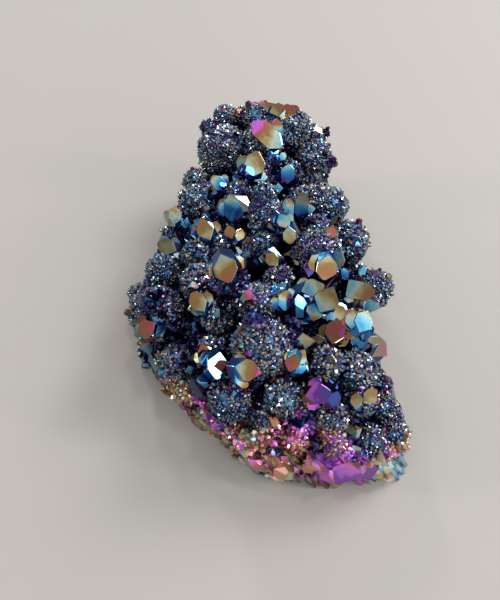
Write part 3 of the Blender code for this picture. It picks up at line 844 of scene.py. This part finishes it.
makeCrystals("clearCrystals", withCompanions(clearCrystals["rows"]), clearFilm)
makeCrystals("footCrystals", footCrystals["rows"], brokenFilm)
makeCrystals("dullCrystal", [dullCrystal], druzyFilm)


# what the scatter grows on: the skins of the body and the knobs together, and the core

bed = copyOf(body, "bed")
knobBed = copyOf(knobs, "knobBed")
makeActive(bed)
knobBed.select_set(True)
bpy.ops.object.join()
for word, value in (("bare", 1.0), ("film", 0.0), ("light", 1.0)):
    storeOn(core, "FACE", word, [value] * len(core.data.polygons))

skin = copyOf(frame["nodes"][crystalBody["node"]], "skin")  # which the points on the core grow up to

scatters = {  # what they all share
    "lightShare": 0.9,  # of the ground's own painted light, which the grains take on
    "leastLight": 0.08,
    "fullFilmAt": 0.9,  # how far up a grain its own film is reached
    "skinWithin": 0.008,  # how far a point looks for the solid's skin
}


def scatterTree(name, on, spread, material, reach):
    tree = bpy.data.node_groups.new(name, "GeometryNodeTree")
    for way in ("INPUT", "OUTPUT"):
        tree.interface.new_socket(name="Geometry", in_out=way, socket_type="NodeSocketGeometry")
    ground = addNode(tree, "NodeGroupInput").outputs[0]

    def stored(word):
        node = addNode(tree, "GeometryNodeInputNamedAttribute", {"data_type": "FLOAT"}, Name=word)
        return node.outputs["Attribute"]

    def chance(low, high, seed):
        node = addNode(tree, "FunctionNodeRandomValue", {"data_type": "FLOAT"}, n2=low, n3=high, Seed=seed)
        return node.outputs[1]

    def store(geometry, domain, word, value):
        return addNode(tree, "GeometryNodeStoreNamedAttribute", {"data_type": "FLOAT", "domain": domain},
                       Geometry=geometry, Name=word, Value=value).outputs[0]

    # where they stand
    place = addNode(tree, "GeometryNodeInputPosition").outputs[0]
    along = addNode(tree, "ShaderNodeSeparateXYZ", Vector=place).outputs["Y"]
    inside = maths(tree, "MULTIPLY", maths(tree, "GREATER_THAN", along, reach[0]),
                   maths(tree, "LESS_THAN", along, reach[1]))
    for word, wanted in on.items():
        side = maths(tree, "GREATER_THAN" if wanted else "LESS_THAN", stored(word), 0.5)
        inside = maths(tree, "MULTIPLY", inside, side)
    scattered = addNode(tree, "GeometryNodeDistributePointsOnFaces", {"distribute_method": "POISSON"},
                        Mesh=ground, Selection=inside, Distance_Min=spread["spacing"],
                        Density_Max=spread["density"], Seed=spread["seed"])

    # which way they point
    lean = math.radians(spread["lean"])
    tilt = addNode(tree, "ShaderNodeCombineXYZ", X=chance(-lean, lean, 1), Y=chance(-lean, lean, 2),
                   Z=chance(0, math.tau, 3)).outputs[0]
    tilt = addNode(tree, "FunctionNodeEulerToRotation", Euler=tilt).outputs[0]
    upright = scattered.outputs["Rotation"]
    if "axis" in spread:  # these all lean one way, whatever they stand on
        upright = addNode(tree, "FunctionNodeAlignRotationToVector", {"axis": "Z"}, Vector=spread["axis"])
        upright = upright.outputs[0]
    turned = addNode(tree, "FunctionNodeRotateRotation", {"rotation_space": "LOCAL"}, Rotation=upright,
                     Rotate_By=tilt).outputs[0]

    # how wide and high they are
    if "upToSkin" in spread:  # these grow so much of the way up to the solid's own skin
        solid = addNode(tree, "GeometryNodeObjectInfo", Object=skin).outputs["Geometry"]
        way = addNode(tree, "GeometryNodeRaycast", Target_Geometry=solid,
                      Ray_Direction=scattered.outputs["Normal"], Ray_Length=scatters["skinWithin"]).outputs
        high = maths(tree, "MULTIPLY", way["Hit Distance"], chance(*spread["upToSkin"], 5))
        high = maths(tree, "MULTIPLY", way["Is Hit"], high)
        wide = maths(tree, "MULTIPLY", high, chance(*spread["width"], 4))
    else:
        coarse = addNode(tree, "ShaderNodeTexNoise", Scale=spread["coarseScale"], Detail=1.0).outputs["Fac"]
        coarse = spreadCloud(tree, coarse, *spread["coarse"])
        wide = maths(tree, "MULTIPLY", coarse, chance(*spread["width"], 4))
        high = maths(tree, "MULTIPLY", wide, chance(*spread["height"], 5))
    size = addNode(tree, "ShaderNodeCombineXYZ", X=wide, Y=wide, Z=high).outputs[0]
    shapes = addNode(tree, "GeometryNodeCollectionInfo", Collection=spread["shapes"],
                     Separate_Children=True, Reset_Children=True).outputs[0]
    placed = addNode(tree, "GeometryNodeInstanceOnPoints", Points=scattered.outputs["Points"],
                     Instance=shapes, Pick_Instance=True, Rotation=turned, Scale=size).outputs[0]

    # their film and tone, which change from tip to foot once they are real; the tone takes on the ground's
    # painted light, and its fall towards the foot is painted shade
    film = maths(tree, "ADD", stored("film"), chance(*spread["film"], 6))
    placed = store(placed, "INSTANCE", "film", film)
    light = maths(tree, "MULTIPLY", stored("light"), scatters["lightShare"])
    light = maths(tree, "ADD", light, scatters["leastLight"])
    placed = store(placed, "INSTANCE", "tone", maths(tree, "MULTIPLY", light, chance(*spread["tone"], 7)))
    real = addNode(tree, "GeometryNodeRealizeInstances", Geometry=placed).outputs[0]
    climb = maths(tree, "SUBTRACT", stored("rise"), scatters["fullFilmAt"])
    film = maths(tree, "ADD", stored("film"), maths(tree, "MULTIPLY", climb, spread["climb"]))
    real = store(real, "POINT", "film", film)
    # painted shade: a grain keeps only the foot share of its tone at its root
    share = maths(tree, "MULTIPLY", stored("rise"), 1 - spread["foot"])
    share = maths(tree, "ADD", share, spread["foot"])
    real = store(real, "POINT", "tone", maths(tree, "MULTIPLY", stored("tone"), share))
    real = addNode(tree, "GeometryNodeSetMaterial", Geometry=real, Material=material).outputs[0]
    addNode(tree, "NodeGroupOutput", Geometry=real)
    return tree


def scatterOn(ground, name, on, spread, material, reach=(-1.0, 1.0)):
    # reach is from where to where along the piece, in metres
    piece = copyOf(ground, name)
    makeActive(piece)
    scatter = piece.modifiers.new("scatter", "NODES")
    scatter.node_group = scatterTree(name + "Nodes", on, spread, material, reach)
    bpy.ops.object.modifier_apply(modifier="scatter")
    finishPiece(piece, material)


fineDruzy = {
    "shapes": grains, "spacing": 0.00046, "density": 7e6, "seed": 3, "lean": 24,
    "coarse": (0.8, 1.4), "coarseScale": 130.0, "width": (0.00055, 0.0011), "height": (0.8, 1.3),
    "film": (-0.26, 0.10), "tone": (0.3, 1.15), "climb": 0.0, "foot": 0.45,
}
druzyPatches = {
    "druzyNarrowEnd": (0.024, 1.0, druzyFilm),
    "druzyNeck": (0.006, 0.024, druzyFilm),
    "druzyMiddle": (-0.012, 0.006, druzyFilm),
    "druzyWideMiddle": (-0.030, -0.012, rosyDruzyFilm),
    "druzyWideEnd": (-1.0, -0.030, rosyDruzyFilm),
}
onDruzy = {"druzy": True, "bare": True, "broken": False}
for name, (start, end, film) in druzyPatches.items():
    scatterOn(bed, name, onDruzy, fineDruzy, film, (start, end))

knobPoints = {
    "shapes": points, "spacing": 0.0040, "density": 2e5, "seed": 8, "lean": 25,
    "coarse": (0.7, 1.3), "coarseScale": 90.0, "width": (0.0010, 0.0020), "height": (0.6, 0.85),
    "film": (0.20, 0.46), "tone": (0.6, 1.0), "climb": 0.2, "foot": 0.3,
}
scatterOn(bed, "pointsAmongDruzy", onDruzy, knobPoints, clearFilm)

innerPoints = {  # clear points that grow out of the stone between the knobs
    "shapes": points, "spacing": 0.0030, "density": 3e5, "seed": 12, "lean": 20,
    "upToSkin": (0.5, 0.74), "width": (0.45, 0.8),  # of the way there, and of the height
    "film": (-0.08, 0.08), "tone": (0.6, 1.0), "climb": 0.3, "foot": 0.12,
}
scatterOn(core, "innerPoints", {"bare": True}, innerPoints, clearFilm, (-0.041, 1.0))

edgeBlades = {  # the foot of the broken edge shows the crystals from the side, as slanting blades
    "shapes": points, "spacing": 0.0009, "density": 3e6, "seed": 21, "lean": 10,
    "axis": (-0.34, -0.08, 0.93), "coarse": (0.7, 1.25), "coarseScale": 110.0,
    "width": (0.0007, 0.0014), "height": (2.0, 3.2),
    "film": (-0.08, 0.22), "tone": (0.2, 1.4), "climb": 0.3, "foot": 0.4,
}
scatterOn(bed, "brokenEdgeBlades", {"broken": True, "bare": True, "low": True}, edgeBlades, brokenFilm)

edgeDruzy = dict(fineDruzy, spacing=0.0007, seed=5, width=(0.0006, 0.0013), height=(0.9, 1.5),
                 film=(-0.14, 0.2), tone=(0.4, 1.3))
scatterOn(bed, "brokenEdgeDruzy", {"broken": True, "bare": True, "low": False}, edgeDruzy, brokenFilm)

footPoints = {  # small clear points round the foot of the unbroken sides
    "shapes": points, "spacing": 0.0013, "density": 2e6, "seed": 31, "lean": 30,
    "coarse": (0.7, 1.3), "coarseScale": 90.0, "width": (0.0010, 0.0021), "height": (0.35, 0.55),
    "film": (-0.12, 0.22), "tone": (0.4, 1.0), "climb": 0.2, "foot": 0.3,
}
onFoot = {"druzy": False, "bare": True, "broken": False, "low": True}
scatterOn(bed, "pointsAtFoot", onFoot, footPoints, clearFilm)

for part in list(grains.objects) + list(points.objects) + [bed, core, skin]:
    bpy.data.objects.remove(part)
bpy.data.collections.remove(grains)
bpy.data.collections.remove(points)

# the short edge that two faces of the body share twice becomes a point
pinch, pinchReach = Vector(crystalBody["pinch"][0]) / 1000, crystalBody["pinch"][1] / 1000
selectPoints(body, lambda corner: (corner - pinch).length < pinchReach)
bpy.ops.mesh.remove_doubles(threshold=2 * pinchReach)
setMode("OBJECT")
print("druzy scattered")


# floor, light and camera

stage = {
    "floorSize": 3.0,
    "floorColour": (0.37, 0.34, 0.30),
    "floorRoughness": 0.75,
    "worldColour": (0.80, 0.86, 1.0),
    "worldStrength": 0.44,
    "lights": {  # place, size across, power and colour; each looks at the middle of the piece
        "window": ((0.55, 0.42, 0.62), 0.40, 6.3, (0.95, 0.98, 1.0)),
        "ceiling": ((-0.10, -0.45, 0.95), 1.1, 2.2, (1.0, 0.97, 0.93)),
        "leftFill": ((-0.75, 0.10, 0.45), 0.4, 1.1, (1.0, 0.95, 0.9)),
        "rightFill": ((0.60, -0.45, 0.50), 0.9, 3.0, (0.92, 0.96, 1.0)),
        "sparkFront": ((0.28, -0.78, 0.16), 0.08, 1.3, (1, 1, 1)),
        "sparkBack": ((-0.25, 0.65, 0.50), 0.08, 1.4, (1, 1, 1)),
        "sparkSide": ((0.70, -0.15, 0.35), 0.08, 1.2, (1, 1, 1)),
        "sparkTop": ((0.12, 0.16, 0.95), 0.08, 1.1, (1, 1, 1)),
        "sparkLeft": ((-0.80, -0.03, 0.38), 0.08, 1.2, (1, 1, 1)),
    },
    "lookAt": (0.0, 0.0, 0.02),
}

deselectAll()
bpy.ops.mesh.primitive_plane_add(size=stage["floorSize"], location=(0, 0, 0))
floor = bpy.context.object
floor.name = "floor"
floorPaint = bpy.data.materials.new("paleFloor")
floorPaint.use_nodes = True
floorShader = floorPaint.node_tree.nodes["Principled BSDF"]
floorShader.inputs["Base Color"].default_value = (*stage["floorColour"], 1)
floorShader.inputs["Roughness"].default_value = stage["floorRoughness"]
floor.data.materials.append(floorPaint)

world = bpy.data.worlds.new("studio")
bpy.context.scene.world = world
world.use_nodes = True
background = world.node_tree.nodes["Background"]
background.inputs["Color"].default_value = (*stage["worldColour"], 1)
background.inputs["Strength"].default_value = stage["worldStrength"]

for name, (place, size, power, colour) in stage["lights"].items():
    bpy.ops.object.light_add(type="AREA", location=place)
    lamp = bpy.context.object
    lamp.name = name
    lamp.data.size = size
    lamp.data.energy = power
    lamp.data.color = colour
    lamp.rotation_euler = (Vector(stage["lookAt"]) - Vector(place)).to_track_quat("-Z", "Y").to_euler()

cameraSet = {
    "place": (-0.00174, -0.10394, 0.125),
    "tilt": 40,  # degrees up from straight down
    "lens": 36,
    "sensor": 36,
    "clipStart": 0.005,
}
bpy.ops.object.camera_add(location=cameraSet["place"], rotation=(math.radians(cameraSet["tilt"]), 0, 0))
camera = bpy.context.object
camera.data.lens = cameraSet["lens"]
camera.data.sensor_width = cameraSet["sensor"]
camera.data.clip_start = cameraSet["clipStart"]
bpy.context.scene.camera = camera
bpy.context.scene.view_settings.view_transform = "Standard"
print("stage set")
